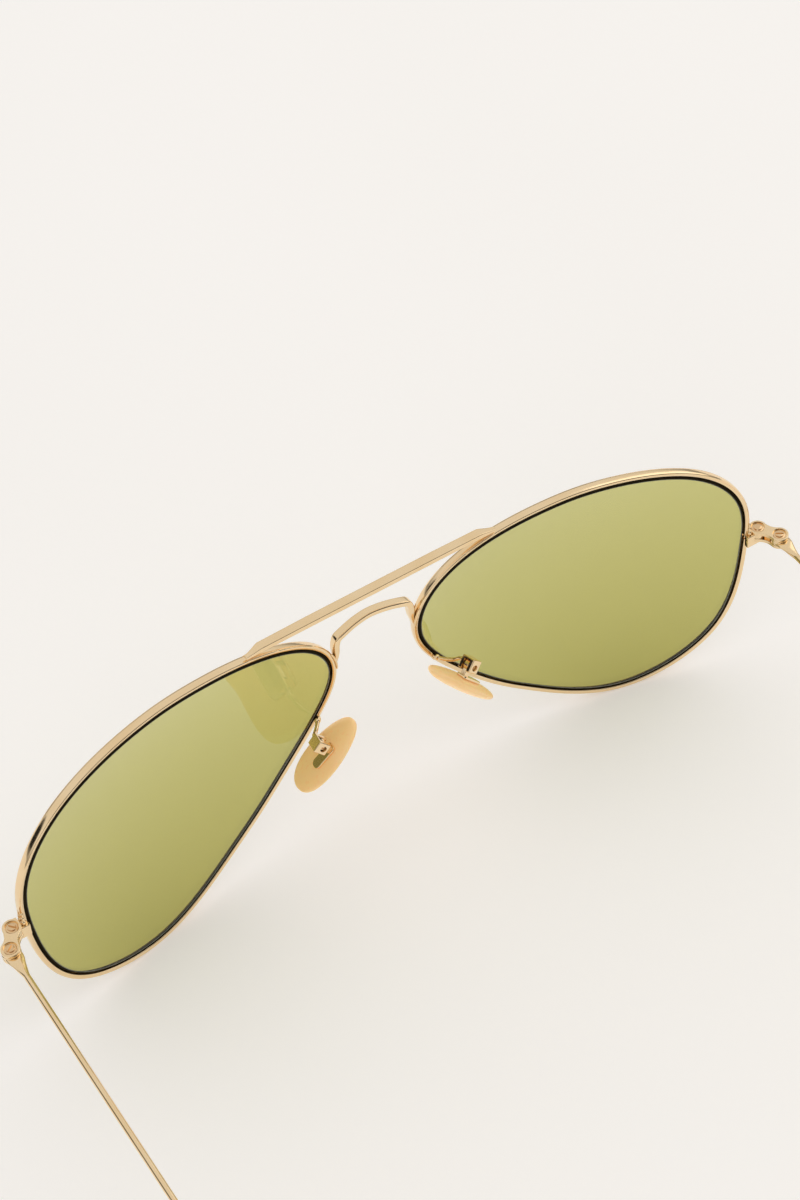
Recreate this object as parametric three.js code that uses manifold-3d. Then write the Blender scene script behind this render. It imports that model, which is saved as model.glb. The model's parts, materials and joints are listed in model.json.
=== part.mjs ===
// Aviator sunglasses with a wire frame, a double bridge, folding temples and rocking nose pads.
// Millimetres. +X is the wearer's left, +Y runs back along the temples, +Z is up.
// The front is drawn upright about its own middle, then leant forward so that the rims and
// the temple tips stand on z = 0.
import * as THREE from 'three';
import { mergeVertices } from 'three/addons/utils/BufferGeometryUtils.js';
import Module from 'manifold-3d';

const wasm = await Module();
wasm.setup();

const degrees = THREE.MathUtils.degToRad;

// ---- Front: lenses and rims ----
const LENS_CENTRE = 36.25; // from the symmetry plane to the middle of a lens
const WRAP = degrees(7.3); // each lens turns its temporal side back by this
const BASE_RADIUS = 96; // sphere that both lenses and rims follow
// Control points of the round-cornered teardrop that a rim's lip follows: a closed uniform
// cubic B-spline, x towards the temple and y up, measured from the middle of the lens.
const TEARDROP = [
  [28.5, 10.5], [20, 20.5], [2, 24], [-5, 24], [-24.5, 23.5], [-31.5, 9.5],
  [-18, -9.5], [-9.5, -17], [6.5, -27], [26, -19], [28.5, -0.5],
];
const TEARDROP_STEPS = 64;
const RIM_DEPTH = 1.5; // front to back
const RIM_THICK = 0.75; // from the lip outwards
const RIM_ROUND = 0.2;
const GROOVE_DEPTH = 0.35;
const GROOVE_HALF = 0.45;
const SPLIT_GAP = 0.3; // the rim wire's two ends face each other across this
const LENS_THICK = 1.6;
const LENS_EDGE_INSET = 0.55; // the lens faces stop this far inside the lip
const BEVEL_REACH = 0.05; // the bevel's edge goes this far into the groove
const LENS_RINGS = [0.34, 0.68]; // inner rings of a lens face, as shares of its outline

// ---- Bridge and brow bar ----
const BRIDGE_DEPTH = 1.5;
const BRIDGE_HEIGHT = 1.0;
// Half of the bridge's centre line, from its foot beside the rim up to the symmetry plane.
const BRIDGE_ROUTE = [
  [6.2, 0.9, 11.6], [6.3, 1.1, 14.6], [6.4, 1.15, 17.0], [6.05, 1.1, 17.95],
  [5.2, 1.0, 18.3], [2.8, 0.5, 18.6], [0, 0.2, 18.7],
];
const BRIDGE_STEPS = 36;
const BAR_HALF_LENGTH = 21.4;
const BAR_DEPTH = 1.65;
const BAR_HEIGHT = 0.9;
const BAR_ROUND = 0.2;
const BAR_BACK = 2.5; // the bar's back face
const BAR_BOTTOM = 24.75;

// ---- Endpieces and temple hinges, measured from the hinge axis ----
const HINGE_AXIS = new THREE.Vector3(68.1, 11.1, 1.1);
const RIM_SCREW = new THREE.Vector2(-1.85, -3.15);
const EYE_RADIUS = 1.45;
const SCREW_HOLE_RADIUS = 0.6;
const LEAF_TOP = 1; // outer faces, above and below the middle of the hinge
const LEAF_THICK = 0.6;
const RECESS = { radius: 1.12, depth: 0.3 }; // round each screw head
const KNUCKLE_HALF = 0.35;
const CLAMP_MIDDLE = -0.2; // height of the gap between the halves that the rim screw draws together
const CLAMP_GAP = 0.3;
const WAIST_WIDTH = 2.0;
// The clamp is a tongue beside the rim and a block behind it.
const TONGUE = { left: -3.15, right: -1.85, front: -4.9, back: -2.75 };
const BLOCK = { left: -4.3, right: -1.85, front: -2.9, back: -2.15, top: 0.6, bottom: -1.7 };
// The temple's taper from its knuckle to the wire: distance, half width, half height, rise.
const TAPER = [
  [0.3, 1.3, 0.33, 0], [1.6, 1.25, 0.34, 0], [2.4, 1.0, 0.38, -0.06], [3.6, 0.7, 0.48, -0.27],
  [4.6, 0.5, 0.5, -0.35],
];

// ---- Screws ----
const SCREW = { shank: 0.5, head: 1.0, crown: 0.85, edge: 0.2, height: 0.3, length: 1.7 };
const SCREW_SLOT = { width: 0.3, depth: 0.15 };
const SCREW_SEAT = 0.05; // clearance under a head
const PAD_SCREW = { radius: 0.4, halfLength: 0.9, slot: 0.2, slotDepth: 0.2 }; // headless
const ROUND_SIDES = 16;

// ---- Temples, measured from the hinge axis ----
const WIRE_RADIUS = 0.5;
const WIRE_SIDES = 10;
const WIRE_START = 4.7;
const WIRE_LIFT = -0.35; // the wire leaves the hinge this far below its middle
const TEMPLE_SLOPE = degrees(2.6);
const BEND_START = 95;
const BEND_RADIUS = 22;
const BEND_ANGLE = degrees(48);
const TEMPLE_LENGTH = 139.2; // along the wire, from the hinge to the end of the tip
const BEND_STEPS = 8;
const TIP_START = 74;
const TIP_MOUTH = { inset: 0.25, length: 0.4 }; // rounding of the open end
const TIP_BORE = 0.15; // clearance between wire and tip
const TIP_CORE_END = 9; // the wire stops this far short of the tip's end
const TIP_NECK = { half: 1.2, tall: 1.25 };
const TIP_PADDLE = { half: 1.45, tall: 2.4 };
const TIP_SWELL = { from: 90, to: 130 }; // where the neck grows into the paddle
const TIP_ROUNDING = [0, 0.4, 0.7, 0.9, 0.99]; // rings of the round end, as shares of its length
const TIP_SIDES = 14;

// ---- Nose pads, in a frame of their own: x away from the nose, y back, z up the pad ----
const PAD_CENTRE = new THREE.Vector3(12, 5.45, -0.2);
const PAD_LEAN = degrees(1.5); // the pads' lower ends stand further back
const PAD_SPLAY = degrees(45.5); // and further apart
const PAD_TURN = degrees(12.8); // the pads' back edges stand apart
const PAD_ROCK = degrees(-6.5); // both pads have come to rest rocked this much the same way
const PAD_LENGTH = 13.6;
const PAD_WIDTH = 8;
const PAD_FACE = 1.3; // bulge towards the nose
const PAD_BACK = 0.95;
// Exponents that square off the pad's outline and its edge, and how much wider its lower end is.
const PAD_FORM = { outline: 0.85, edge: 0.6, taper: 0.3 };
const PAD_SIDES = 16;
const PAD_RINGS = 11;
const PAD_PIVOT = new THREE.Vector3(3, 1.3, 1.4); // axis of the pad screw, which runs along y
const BOX = { below: 0.9, above: 1.25, halfWidth: 1.25, halfLength: 0.95 };
const BOX_SLOT = { halfWidth: 0.6, above: 0.95 };
const STEM = { halfWidth: 0.45, eye: 0.85, neck: 0.55 };
const FOOT = { gap: 0.1, thick: 0.3, below: 3.6, above: 0.8, halfWidth: 1.0 };
const PAD_SCREW_HOLE = 0.5;
// Centre line of the pad arm, in the front's frame, from the rim's back towards the pad box.
const ARM_RADIUS = 0.33;
const ARM_ROUTE = [[10.6, 0.55, 1.7], [11.4, 1.7, 1.7], [12.4, 2.85, 2.0]];
const ARM_END = { x: 0.2, gap: 0.12, straight: 0.9 }; // where it meets the box's front cheek
const ARM_STEPS = 18;
const ARM_SIDES = 8;

const STAND_TILT = degrees(3); // lean at which the rims and the temple tips share one plane

const gold = new THREE.MeshStandardMaterial({ color: 0xdcb67c, roughness: 0.16, metalness: 1 });
const screwGold = new THREE.MeshStandardMaterial({ color: 0xcaa06a, roughness: 0.24, metalness: 1 });
const greenGlass = new THREE.MeshStandardMaterial({ color: 0xa9ab5f, roughness: 0.04, metalness: 0 });
const amberPlastic = new THREE.MeshStandardMaterial({ color: 0xe6b873, roughness: 0.3, metalness: 0 });

// ---------------------------------------------------------------- solids and geometries

// Positions only, shared vertices merged, faces pointing out.
function closedGeometry(source) {
  const geometry = source.index ? source.clone() : mergeVertices(source.clone());
  for (const name of Object.keys(geometry.attributes)) {
    if (name !== 'position') {
      geometry.deleteAttribute(name);
    }
  }
  const merged = mergeVertices(geometry, 1e-5);
  return signedVolume(merged) < 0 ? turnedInsideOut(merged) : merged;
}

function signedVolume(geometry) {
  const { position } = geometry.attributes;
  const [a, b, c] = [new THREE.Vector3(), new THREE.Vector3(), new THREE.Vector3()];
  let sum = 0;
  for (let first = 0; first < geometry.index.count; first += 3) {
    a.fromBufferAttribute(position, geometry.index.getX(first));
    b.fromBufferAttribute(position, geometry.index.getX(first + 1));
    c.fromBufferAttribute(position, geometry.index.getX(first + 2));
    sum += a.dot(b.cross(c)) / 6;
  }
  return sum;
}

function turnedInsideOut(geometry) {
  const turned = geometry.clone();
  const index = turned.index;
  for (let first = 0; first < index.count; first += 3) {
    const second = index.getX(first + 1);
    index.setX(first + 1, index.getX(first + 2));
    index.setX(first + 2, second);
  }
  return turned;
}

// Mirror image across x = 0.
function mirrored(geometry) {
  return turnedInsideOut(geometry.clone().scale(-1, 1, 1));
}

function toSolid(geometry) {
  const closed = closedGeometry(geometry);
  const mesh = new wasm.Mesh({
    numProp: 3,
    vertProperties: Float32Array.from(closed.attributes.position.array),
    triVerts: Uint32Array.from(closed.index.array),
  });
  return new wasm.Manifold(mesh);
}

function toGeometry(solid) {
  const mesh = solid.getMesh();
  const geometry = new THREE.BufferGeometry();
  geometry.setAttribute('position', new THREE.BufferAttribute(mesh.vertProperties, 3));
  geometry.setIndex(new THREE.BufferAttribute(mesh.triVerts, 1));
  return geometry;
}

function joined(...geometries) {
  return geometries.map(toSolid).reduce((whole, piece) => whole.add(piece));
}

// Skin through a row of rings with equal point counts, closed by a fan at each end.
function loft(rings) {
  const sides = rings[0].length;
  const middles = [rings[0], rings[rings.length - 1]].map(
    (ring) => ring.reduce((sum, point) => sum.add(point), new THREE.Vector3()).divideScalar(sides),
  );
  const points = [...rings.flat(), ...middles];
  const faces = [];
  for (let row = 0; row < rings.length - 1; row += 1) {
    for (let k = 0; k < sides; k += 1) {
      const next = (k + 1) % sides;
      const near = row * sides;
      const far = near + sides;
      faces.push(near + k, near + next, far + next, near + k, far + next, far + k);
    }
  }
  const last = (rings.length - 1) * sides;
  for (let k = 0; k < sides; k += 1) {
    const next = (k + 1) % sides;
    faces.push(rings.length * sides, next, k);
    faces.push(rings.length * sides + 1, last + k, last + next);
  }
  const geometry = new THREE.BufferGeometry().setFromPoints(points);
  geometry.setIndex(faces);
  return closedGeometry(geometry);
}

// Ring of section points [across, up] at a point of a path. across lies along the given
// reference direction, as nearly as the path allows.
function ringAcross(point, tangent, reference, section) {
  const across = reference.clone().addScaledVector(tangent, -reference.dot(tangent)).normalize();
  const up = new THREE.Vector3().crossVectors(tangent, across);
  return section.map(([a, b]) => point.clone().addScaledVector(across, a).addScaledVector(up, b));
}

// Corner-cut rectangle, as section points.
function cutRectangle(width, height, cut) {
  const x = width / 2;
  const y = height / 2;
  return [
    [x, y - cut], [x - cut, y], [cut - x, y], [-x, y - cut],
    [-x, cut - y], [cut - x, -y], [x - cut, -y], [x, cut - y],
  ];
}

function ellipse(halfWidth, halfHeight, sides) {
  return Array.from({ length: sides }, (_, k) => {
    const angle = (2 * Math.PI * k) / sides;
    return [halfWidth * Math.cos(angle), halfHeight * Math.sin(angle)];
  });
}

// Upright cylinder between two heights.
function upright(radius, bottom, top, x = 0, y = 0) {
  const cylinder = new THREE.CylinderGeometry(radius, radius, top - bottom, ROUND_SIDES);
  return cylinder.rotateX(Math.PI / 2).translate(x, y, (top + bottom) / 2);
}

// Cylinder along y, through the origin.
function crossways(radius, halfLength) {
  return new THREE.CylinderGeometry(radius, radius, 2 * halfLength, ROUND_SIDES);
}

// Box between two corners.
function boxBetween(low, high) {
  const box = new THREE.BoxGeometry(high[0] - low[0], high[1] - low[1], high[2] - low[2]);
  return box.translate((low[0] + high[0]) / 2, (low[1] + high[1]) / 2, (low[2] + high[2]) / 2);
}

// ---------------------------------------------------------------- teardrop outline

// Point of the teardrop and its outward direction, at a parameter that counts control points.
function teardropAt(parameter) {
  const count = TEARDROP.length;
  const span = Math.floor(parameter);
  const f = parameter - span;
  const weights = [
    (1 - f) ** 3, 3 * f ** 3 - 6 * f ** 2 + 4, -3 * f ** 3 + 3 * f ** 2 + 3 * f + 1, f ** 3,
  ];
  const slopes = [-((1 - f) ** 2), 3 * f ** 2 - 4 * f, -3 * f ** 2 + 2 * f + 1, f ** 2];
  const point = new THREE.Vector2();
  const tangent = new THREE.Vector2();
  for (let k = 0; k < 4; k += 1) {
    const control = new THREE.Vector2(...TEARDROP[(span - 1 + k + count) % count]);
    point.addScaledVector(control, weights[k] / 6);
    tangent.addScaledVector(control, slopes[k] / 2);
  }
  const speed = tangent.length();
  return { point, outward: new THREE.Vector2(tangent.y, -tangent.x).divideScalar(speed), speed };
}

// Parameter at which the temporal side of the teardrop passes the height of the clamp's gap.
function splitParameter() {
  const height = HINGE_AXIS.z + CLAMP_MIDDLE;
  let low = TEARDROP.length - 1;
  let high = TEARDROP.length;
  while (high - low > 1e-6) {
    const middle = (low + high) / 2;
    if (teardropAt(middle).point.y < height) {
      low = middle;
    } else {
      high = middle;
    }
  }
  return low;
}

// A point in the lens frame: out from the lip, and behind or (negative) in front of it.
function besideLip({ point, outward }, out, behind, share = 1) {
  const flat = point.clone().addScaledVector(outward, out).multiplyScalar(share);
  const sag = BASE_RADIUS - Math.sqrt(BASE_RADIUS ** 2 - flat.lengthSq());
  return new THREE.Vector3(flat.x, sag + behind, flat.y);
}

// ---------------------------------------------------------------- front pieces

function rimGeometry() {
  const section = [
    [0, 0], [RIM_THICK - RIM_ROUND, 0], [RIM_THICK, -RIM_ROUND], [RIM_THICK, RIM_ROUND - RIM_DEPTH],
    [RIM_THICK - RIM_ROUND, -RIM_DEPTH], [0, -RIM_DEPTH], [0, -RIM_DEPTH / 2 - GROOVE_HALF],
    [GROOVE_DEPTH, -RIM_DEPTH / 2], [0, -RIM_DEPTH / 2 + GROOVE_HALF],
  ];
  const split = splitParameter();
  const margin = SPLIT_GAP / 2 / teardropAt(split).speed;
  const rings = [];
  for (let step = 0; step <= TEARDROP_STEPS; step += 1) {
    const share = step / TEARDROP_STEPS;
    const lip = teardropAt(split + margin + share * (TEARDROP.length - 2 * margin));
    rings.push(section.map(([out, behind]) => besideLip(lip, out, behind)));
  }
  return loft(rings);
}

function lensGeometry() {
  const split = splitParameter();
  const lips = Array.from(
    { length: TEARDROP_STEPS },
    (_, step) => teardropAt(split + (step * TEARDROP.length) / TEARDROP_STEPS),
  );
  const middle = -RIM_DEPTH / 2;
  const faceRing = (side, share) => lips.map(
    (lip) => besideLip(lip, -LENS_EDGE_INSET, middle + (side * LENS_THICK) / 2, share),
  );
  const bevel = lips.map((lip) => besideLip(lip, BEVEL_REACH, middle));
  const back = LENS_RINGS.map((share) => faceRing(1, share));
  const front = LENS_RINGS.map((share) => faceRing(-1, share)).reverse();
  return loft([...back, faceRing(1, 1), bevel, faceRing(-1, 1), ...front]);
}

function bridgeGeometry() {
  const half = BRIDGE_ROUTE.map((place) => new THREE.Vector3(...place));
  const otherHalf = half.slice(0, -1).reverse().map(({ x, y, z }) => new THREE.Vector3(-x, y, z));
  const route = new THREE.CatmullRomCurve3([...half, ...otherHalf], false, 'centripetal');
  const section = cutRectangle(BRIDGE_DEPTH, BRIDGE_HEIGHT, BRIDGE_HEIGHT / 4);
  const back = new THREE.Vector3(0, 1, 0);
  const rings = [];
  for (let step = 0; step <= BRIDGE_STEPS; step += 1) {
    const share = step / BRIDGE_STEPS;
    rings.push(ringAcross(route.getPointAt(share), route.getTangentAt(share), back, section));
  }
  return loft(rings);
}

function browBarGeometry() {
  const middle = new THREE.Vector3(0, BAR_BACK - BAR_DEPTH / 2, BAR_BOTTOM + BAR_HEIGHT / 2);
  const along = new THREE.Vector3(1, 0, 0);
  const back = new THREE.Vector3(0, 1, 0);
  const full = cutRectangle(BAR_DEPTH, BAR_HEIGHT, BAR_ROUND);
  const end = cutRectangle(BAR_DEPTH - BAR_ROUND, BAR_HEIGHT - BAR_ROUND, BAR_ROUND);
  const stations = [
    [-BAR_HALF_LENGTH, end], [BAR_ROUND - BAR_HALF_LENGTH, full],
    [BAR_HALF_LENGTH - BAR_ROUND, full], [BAR_HALF_LENGTH, end],
  ];
  return loft(stations.map(([x, section]) => (
    ringAcross(middle.clone().setX(x), along, back, section)
  )));
}

// ---------------------------------------------------------------- endpiece and hinge

// One half of the rim clamp with its hinge leaf: a plate with two eyes, and a tongue and a block
// that hold the rim. side is 1 for the upper half and -1 for the lower one.
function endpieceGeometry(side) {
  const leaf = [side * (LEAF_TOP - LEAF_THICK), side * LEAF_TOP];
  const seam = CLAMP_MIDDLE + (side * CLAMP_GAP) / 2;
  const clampEnd = side > 0 ? BLOCK.top : BLOCK.bottom;
  const ordered = (from, to) => [Math.min(from, to), Math.max(from, to)];
  const [leafLow, leafHigh] = ordered(...leaf);
  const [eyeLow, eyeHigh] = ordered(seam, side * LEAF_TOP);
  const [clampLow, clampHigh] = ordered(seam, clampEnd);
  const waist = boxBetween(
    [-WAIST_WIDTH / 2, 0, leafLow],
    [WAIST_WIDTH / 2, RIM_SCREW.length(), leafHigh],
  );
  waist.rotateZ(Math.atan2(-RIM_SCREW.x, RIM_SCREW.y));
  const plate = joined(
    upright(EYE_RADIUS, leafLow, leafHigh),
    waist,
    upright(EYE_RADIUS, eyeLow, eyeHigh, RIM_SCREW.x, RIM_SCREW.y),
    boxBetween([TONGUE.left, TONGUE.front, clampLow], [TONGUE.right, TONGUE.back, clampHigh]),
    boxBetween([BLOCK.left, BLOCK.front, clampLow], [BLOCK.right, BLOCK.back, clampHigh]),
  );
  const reach = LEAF_TOP + 1;
  const floor = LEAF_TOP - RECESS.depth;
  const eyes = [[0, 0], [RIM_SCREW.x, RIM_SCREW.y]];
  const holes = joined(...eyes.flatMap(([x, y]) => [
    upright(SCREW_HOLE_RADIUS, -reach, reach, x, y),
    upright(RECESS.radius, floor, reach, x, y),
  ]));
  return toGeometry(plate.subtract(holes));
}

// The temple's knuckle and the taper that runs from it to the wire.
function templeHingeGeometry() {
  const along = new THREE.Vector3(0, 1, 0);
  const across = new THREE.Vector3(1, 0, 0);
  const taper = loft(TAPER.map(([distance, half, tall, rise]) => (
    ringAcross(new THREE.Vector3(0, distance, rise), along, across, ellipse(half, tall, ROUND_SIDES))
  )));
  const whole = joined(taper, upright(EYE_RADIUS, -KNUCKLE_HALF, KNUCKLE_HALF));
  return toGeometry(whole.subtract(toSolid(upright(SCREW_HOLE_RADIUS, -LEAF_TOP, LEAF_TOP))));
}

// Slotted screw whose shank hangs from z = 0 and whose head stands on it.
function screwGeometry() {
  const top = SCREW_SEAT + SCREW.height;
  const profile = [
    [0, -SCREW.length], [SCREW.shank, -SCREW.length], [SCREW.shank, SCREW_SEAT],
    [SCREW.head, SCREW_SEAT], [SCREW.head, SCREW_SEAT + SCREW.edge], [SCREW.crown, top], [0, top],
  ].map(([radius, height]) => new THREE.Vector2(radius, height));
  const body = new THREE.LatheGeometry(profile, ROUND_SIDES).rotateX(Math.PI / 2);
  const slot = boxBetween(
    [-2 * SCREW.head, -SCREW_SLOT.width / 2, top - SCREW_SLOT.depth],
    [2 * SCREW.head, SCREW_SLOT.width / 2, top + 1],
  );
  return toGeometry(toSolid(body).subtract(toSolid(slot)));
}

// Headless screw along y, slotted at its back end.
function padScrewGeometry() {
  const { radius, halfLength, slot, slotDepth } = PAD_SCREW;
  const cut = boxBetween(
    [-2 * radius, halfLength - slotDepth, -slot / 2],
    [2 * radius, halfLength + 1, slot / 2],
  );
  return toGeometry(toSolid(crossways(radius, halfLength)).subtract(toSolid(cut)));
}

// ---------------------------------------------------------------- temples

// Point and direction of the temple's centre line at a distance from the hinge: straight and
// sloping down, then round the ear bend, then straight again.
function templeAt(distance) {
  const bendLength = BEND_RADIUS * BEND_ANGLE;
  const turned = THREE.MathUtils.clamp((distance - BEND_START) / bendLength, 0, 1) * BEND_ANGLE;
  const before = Math.min(distance, BEND_START);
  const after = Math.max(distance - BEND_START - bendLength, 0);
  const y = before + BEND_RADIUS * Math.sin(turned) + after * Math.cos(turned);
  const z = -BEND_RADIUS * (1 - Math.cos(turned)) - after * Math.sin(turned);
  const level = new THREE.Vector3(0, y, z);
  const tangent = new THREE.Vector3(0, Math.cos(turned), -Math.sin(turned));
  const slope = new THREE.Matrix4().makeRotationX(-TEMPLE_SLOPE);
  level.applyMatrix4(slope);
  level.z += WIRE_LIFT + WIRE_START * Math.sin(TEMPLE_SLOPE);
  return { point: level, tangent: tangent.applyMatrix4(slope) };
}

function templeRing(distance, section) {
  const { point, tangent } = templeAt(distance);
  return ringAcross(point, tangent, new THREE.Vector3(1, 0, 0), section);
}

function bendDistances() {
  const bendLength = BEND_RADIUS * BEND_ANGLE;
  return Array.from({ length: BEND_STEPS + 1 }, (_, k) => BEND_START + (k * bendLength) / BEND_STEPS);
}

function wireSkin(radius, from, to) {
  const distances = [from, (from + BEND_START) / 2, ...bendDistances(), to];
  return loft(distances.map((distance) => templeRing(distance, ellipse(radius, radius, WIRE_SIDES))));
}

function templeWireGeometry() {
  return wireSkin(WIRE_RADIUS, WIRE_START, TEMPLE_LENGTH - TIP_CORE_END);
}

// Half width and half height of the tip at a distance: a round neck that swells to a paddle
// and closes in a round end.
function tipSection(distance) {
  const swell = THREE.MathUtils.smoothstep(distance, TIP_SWELL.from, TIP_SWELL.to);
  const half = THREE.MathUtils.lerp(TIP_NECK.half, TIP_PADDLE.half, swell);
  const tall = THREE.MathUtils.lerp(TIP_NECK.tall, TIP_PADDLE.tall, swell);
  const toEnd = Math.max(TEMPLE_LENGTH - distance, 0) / TIP_PADDLE.tall;
  const close = toEnd < 1 ? Math.sqrt(1 - (1 - toEnd) ** 2) : 1;
  return ellipse(half * close, tall * close, TIP_SIDES);
}

function templeTipGeometry() {
  const nearEnd = TEMPLE_LENGTH - TIP_PADDLE.tall;
  const bend = bendDistances();
  const distances = [
    TIP_START + TIP_MOUTH.length,
    ...bend,
    (bend[BEND_STEPS] + nearEnd) / 2,
    ...TIP_ROUNDING.map((share) => nearEnd + share * TIP_PADDLE.tall),
  ];
  const { half, tall } = TIP_NECK;
  const mouth = ellipse(half - TIP_MOUTH.inset, tall - TIP_MOUTH.inset, TIP_SIDES);
  const rings = distances.map((distance) => templeRing(distance, tipSection(distance)));
  const skin = loft([templeRing(TIP_START, mouth), ...rings]);
  const bore = wireSkin(WIRE_RADIUS + TIP_BORE, TIP_START - 2, TEMPLE_LENGTH - TIP_CORE_END + 0.5);
  return toGeometry(toSolid(skin).subtract(toSolid(bore)));
}

// ---------------------------------------------------------------- nose pads

// The pad, the stem, the box and the screw are all drawn about the pad screw's middle.
function nosePadGeometry() {
  const rings = [];
  for (let row = 0; row < PAD_RINGS; row += 1) {
    const angle = ((row + 0.5) / PAD_RINGS) * Math.PI;
    const height = (-PAD_LENGTH / 2) * Math.cos(angle);
    const taper = 1 - (PAD_FORM.taper * height) / PAD_LENGTH;
    const width = (PAD_WIDTH / 2) * taper * Math.sin(angle) ** PAD_FORM.outline;
    const thick = Math.sin(angle) ** PAD_FORM.edge;
    rings.push(ellipse(1, 1, PAD_SIDES).map(([a, b]) => (
      new THREE.Vector3(a * thick * (a < 0 ? PAD_FACE : PAD_BACK), b * width, height)
    )));
  }
  return loft(rings.map((ring) => ring.map((point) => point.sub(PAD_PIVOT))));
}

// Metal foot and eye that the pad hangs by; the eye turns in the pad box.
function padStemGeometry() {
  const footFace = PAD_BACK + FOOT.gap - PAD_PIVOT.x;
  const whole = joined(
    crossways(STEM.eye, STEM.halfWidth),
    boxBetween([footFace, -STEM.halfWidth, -STEM.neck], [0, STEM.halfWidth, STEM.neck]),
    boxBetween(
      [footFace, -FOOT.halfWidth, -FOOT.below],
      [footFace + FOOT.thick, FOOT.halfWidth, FOOT.above],
    ),
  );
  return toGeometry(whole.subtract(toSolid(crossways(PAD_SCREW_HOLE, 2 * STEM.halfWidth))));
}

// Box that holds the stem's eye: open towards the pad, with the screw's hole through it.
function padBoxGeometry() {
  const outer = boxBetween(
    [-BOX.below, -BOX.halfWidth, -BOX.halfLength],
    [BOX.above, BOX.halfWidth, BOX.halfLength],
  );
  const slot = boxBetween(
    [-BOX.below - 1, -BOX_SLOT.halfWidth, -BOX.halfLength - 1],
    [BOX_SLOT.above, BOX_SLOT.halfWidth, BOX.halfLength + 1],
  );
  const hole = crossways(PAD_SCREW_HOLE, 2 * BOX.halfWidth);
  return toGeometry(toSolid(outer).subtract(joined(slot, hole)));
}

// Wire from the back of the rim to the pad box, whose front cheek it meets squarely.
function padArmGeometry(boxMatrix) {
  const endY = -BOX.halfWidth - ARM_END.gap;
  const end = [endY - ARM_END.straight, endY].map(
    (y) => new THREE.Vector3(ARM_END.x, y, 0).applyMatrix4(boxMatrix),
  );
  const start = ARM_ROUTE.map((place) => new THREE.Vector3(...place));
  const route = new THREE.CatmullRomCurve3([...start, ...end]);
  const ring = ellipse(ARM_RADIUS, ARM_RADIUS, ARM_SIDES).map(([x, y]) => new THREE.Vector2(x, y));
  const options = { steps: ARM_STEPS, bevelEnabled: false, extrudePath: route };
  return new THREE.ExtrudeGeometry(new THREE.Shape(ring), options);
}

// ---------------------------------------------------------------- assembly

const ORIGIN = new THREE.Vector3();
const front = new THREE.Group();
front.rotation.x = STAND_TILT;

function addMesh(name, geometry, material, position = ORIGIN, turn = [0, 0, 0]) {
  const mesh = new THREE.Mesh(geometry, material.clone());
  mesh.name = name;
  mesh.position.copy(position);
  mesh.rotation.set(...turn);
  front.add(mesh);
}

// Adds a left-hand piece and its mirror image, both first rocked the same way about y.
function addPair(name, source, material, position = ORIGIN, turn = [0, 0, 0], rock = 0) {
  const geometry = closedGeometry(source);
  const leftPiece = geometry.clone().rotateY(rock);
  const rightPiece = mirrored(geometry).rotateY(rock);
  addMesh(`${name}_left`, leftPiece, material, position, turn);
  addMesh(
    `${name}_right`, rightPiece, material,
    position.clone().setX(-position.x), [turn[0], -turn[1], -turn[2]],
  );
}

const lensPlace = new THREE.Vector3(LENS_CENTRE, 0, 0);
const lensTurn = [0, 0, WRAP];
addPair('lens', lensGeometry(), greenGlass, lensPlace, lensTurn);
addPair('rim', rimGeometry(), gold, lensPlace, lensTurn);
addMesh('bridge', bridgeGeometry(), gold);
addMesh('brow_bar', browBarGeometry(), gold);

const hingeSeat = HINGE_AXIS.clone().setZ(HINGE_AXIS.z + LEAF_TOP - RECESS.depth);
const rimScrewSeat = hingeSeat.clone().add(new THREE.Vector3(RIM_SCREW.x, RIM_SCREW.y, 0));
addPair('endpiece_upper', endpieceGeometry(1), gold, HINGE_AXIS);
addPair('endpiece_lower', endpieceGeometry(-1), gold, HINGE_AXIS);
addPair('rim_screw', screwGeometry(), screwGold, rimScrewSeat);
addPair('hinge_screw', screwGeometry(), screwGold, hingeSeat);
addPair('temple_hinge', templeHingeGeometry(), gold, HINGE_AXIS);
addPair('temple_wire', templeWireGeometry(), gold, HINGE_AXIS);
addPair('temple_tip', templeTipGeometry(), amberPlastic, HINGE_AXIS);

const padTurn = [PAD_LEAN, -PAD_SPLAY, -PAD_TURN];
const boxMatrix = new THREE.Matrix4().makeRotationFromEuler(new THREE.Euler(...padTurn));
const padPivot = PAD_PIVOT.clone().applyMatrix4(boxMatrix).add(PAD_CENTRE);
boxMatrix.setPosition(padPivot);
addPair('nose_pad', nosePadGeometry(), amberPlastic, padPivot, padTurn, PAD_ROCK);
addPair('pad_stem', padStemGeometry(), gold, padPivot, padTurn, PAD_ROCK);
addPair('pad_box', padBoxGeometry(), gold, padPivot, padTurn);
addPair('pad_screw', padScrewGeometry(), screwGold, padPivot, padTurn);
addPair('pad_arm', padArmGeometry(boxMatrix), gold);

// Stand the glasses on z = 0, centred front to back.
const glasses = new THREE.Group();
glasses.add(front);
glasses.updateMatrixWorld(true);
const extent = new THREE.Box3().setFromObject(glasses, true);
glasses.position.set(0, -(extent.min.y + extent.max.y) / 2, -extent.min.z);

export default glasses;
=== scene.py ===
"""Aviator sunglasses: fine surfaces, materials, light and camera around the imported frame.

Everything is drawn in millimetres in the frame of the upright front: +X is the wearer's left,
+Y runs back along the temples, +Z is up. TO_ROW leans that frame forward onto the floor and
turns it into metres. Right-hand pieces are mirror images of the left-hand ones, but both nose
pads are rocked the same way round.
"""
import json
import math

import bmesh
import bpy
from mathutils import Matrix, Vector

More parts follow.
